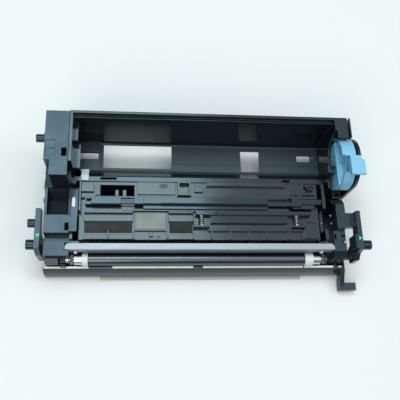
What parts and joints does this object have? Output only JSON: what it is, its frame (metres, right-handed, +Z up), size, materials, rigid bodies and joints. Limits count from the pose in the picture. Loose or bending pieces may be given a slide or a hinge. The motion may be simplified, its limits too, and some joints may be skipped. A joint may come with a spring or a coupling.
{
  "type": "developer unit",
  "caption": "Black developer unit of a page printer: a magnetic developing sleeve behind a lip, a metering blade, mixing chamber with gears, toner cradle and blue lock lever",
  "frame": {"origin": "On the flat underside of the case, below the middle of the developing sleeve's length and halfway across the flat between the belly and the rear trough", "axes": "+X along the developing sleeve towards the blue lock lever, +Y to the toner cradle at the rear, +Z up"},
  "size_m": [0.3402, 0.1625, 0.09],
  "materials": {
    "case_black": "fine moulded grain, satin",
    "cover_black": "moulded, satin",
    "end_black": "moulded, satin",
    "slide_black": "smooth, slightly glossy",
    "bar_steel": "bright plated sheet, drawn along its length",
    "blade_steel": "dull plated sheet",
    "bright_steel": "polished turned steel",
    "sleeve_black": "blasted and coated dark grey",
    "flange_white": "white acetal",
    "gear_white": "white acetal",
    "screw_dark": "moulded",
    "magnet_grey": "bonded ferrite",
    "lever_blue": "light sky-blue moulding",
    "spring_steel": "dark spring wire",
    "film_clear": "clear polyester film",
    "strip_grey": "bright smooth strip",
    "tab_white": "white moulding"
  },
  "bodies": {
    "case": {"lower_case": "case_black", "top_cover": "cover_black", "left_end_cover": "end_black", "right_end_cover": "end_black", "blade_holder": "bar_steel", "doctor_blade": "blade_steel", "blade_screws": "bright_steel", "magnet_roll": "magnet_grey", "left_collar": "bright_steel", "right_collar": "bright_steel", "left_bearing": "bright_steel", "right_bearing": "bright_steel", "front_left_bush": "gear_white", "rear_left_bush": "gear_white", "front_right_bush": "gear_white", "rear_right_bush": "gear_white", "gear_pins": "bright_steel", "left_spring": "spring_steel", "right_spring": "spring_steel", "lever_pin": "end_black", "left_guide": "end_black", "right_guide": "end_black", "release_pin": "blade_steel", "lip_strip": "strip_grey", "lower_film": "film_clear", "guide_tab": "tab_white", "panel_plate": "slide_black", "cover_screws": "blade_steel"},
    "sleeve": {"developing_sleeve": "sleeve_black", "left_flange": "bright_steel", "right_flange": "bright_steel", "sleeve_gear": "gear_white", "retaining_rings": "blade_steel"},
    "left_roller": {"left_gap_roller": "flange_white"},
    "right_roller": {"right_gap_roller": "flange_white"},
    "front_mixer": {"front_screw": "screw_dark", "front_screw_gear": "gear_white"},
    "rear_mixer": {"rear_screw": "screw_dark", "rear_screw_gear": "gear_white"},
    "front_idler": {"front_idler": "gear_white"},
    "rear_idler": {"rear_idler": "gear_white"},
    "drive": {"drive_gear": "gear_white"},
    "shutter_link": {"shutter_bar": "slide_black", "link_rods": "bright_steel", "latch_slider": "slide_black", "cam_slider": "slide_black"},
    "pressure_bar": {"pressure_bar": "slide_black"},
    "lock_lever": {"lock_lever": "lever_blue"},
    "release_lever": {"release_lever": "end_black"}
  },
  "joints": [
    {"name": "drive_spin", "type": "hinge", "parent": "case", "child": "drive", "pos_m": [0, 0.05271, 0.03186], "axis": [1, 0, 0], "continuous": true},
    {"name": "rear_mixer_spin", "type": "hinge", "parent": "case", "child": "rear_mixer", "pos_m": [0, 0.0325, 0.0155], "axis": [1, 0, 0], "continuous": true},
    {"name": "rear_idler_spin", "type": "hinge", "parent": "case", "child": "rear_idler", "pos_m": [0, 0.01615, 0.02702], "axis": [1, 0, 0], "continuous": true},
    {"name": "front_mixer_spin", "type": "hinge", "parent": "case", "child": "front_mixer", "pos_m": [0, -0.0002, 0.0155], "axis": [1, 0, 0], "continuous": true},
    {"name": "front_idler_spin", "type": "hinge", "parent": "case", "child": "front_idler", "pos_m": [0, -0.00774, 0.03294], "axis": [1, 0, 0], "continuous": true},
    {"name": "sleeve_spin", "type": "hinge", "parent": "case", "child": "sleeve", "pos_m": [0, -0.0219, 0.028], "axis": [1, 0, 0], "continuous": true},
    {"name": "left_roller_spin", "type": "hinge", "parent": "case", "child": "left_roller", "pos_m": [0, -0.0219, 0.028], "axis": [1, 0, 0], "continuous": true},
    {"name": "right_roller_spin", "type": "hinge", "parent": "case", "child": "right_roller", "pos_m": [0, -0.0219, 0.028], "axis": [1, 0, 0], "continuous": true},
    {"name": "link_slide", "type": "slide", "parent": "case", "child": "shutter_link", "axis": [1, 0, 0], "range_m": [0, 0.008]},
    {"name": "bar_press", "type": "slide", "parent": "case", "child": "pressure_bar", "axis": [0, -1, 0], "range_m": [0, 0.003], "stiffness_N_per_m": 300, "springref_m": -0.004, "deforming": ["left_spring", "right_spring"]},
    {"name": "lock_turn", "type": "hinge", "parent": "case", "child": "lock_lever", "pos_m": [0.148, 0.0715, 0.06], "axis": [1, 0, 0], "range_deg": [0, 60]},
    {"name": "release_turn", "type": "hinge", "parent": "case", "child": "release_lever", "pos_m": [0.1545, -0.0165, 0.012], "axis": [-1, 0, 0], "range_deg": [0, 28]}
  ],
  "couplings": [
    {"joint": "rear_mixer_spin", "follows": "drive_spin", "ratio": -1.3636},
    {"joint": "rear_idler_spin", "follows": "drive_spin", "ratio": 1.6667},
    {"joint": "front_mixer_spin", "follows": "drive_spin", "ratio": -1.3636},
    {"joint": "front_idler_spin", "follows": "drive_spin", "ratio": 1.875},
    {"joint": "sleeve_spin", "follows": "drive_spin", "ratio": -2.1429}
  ]
}
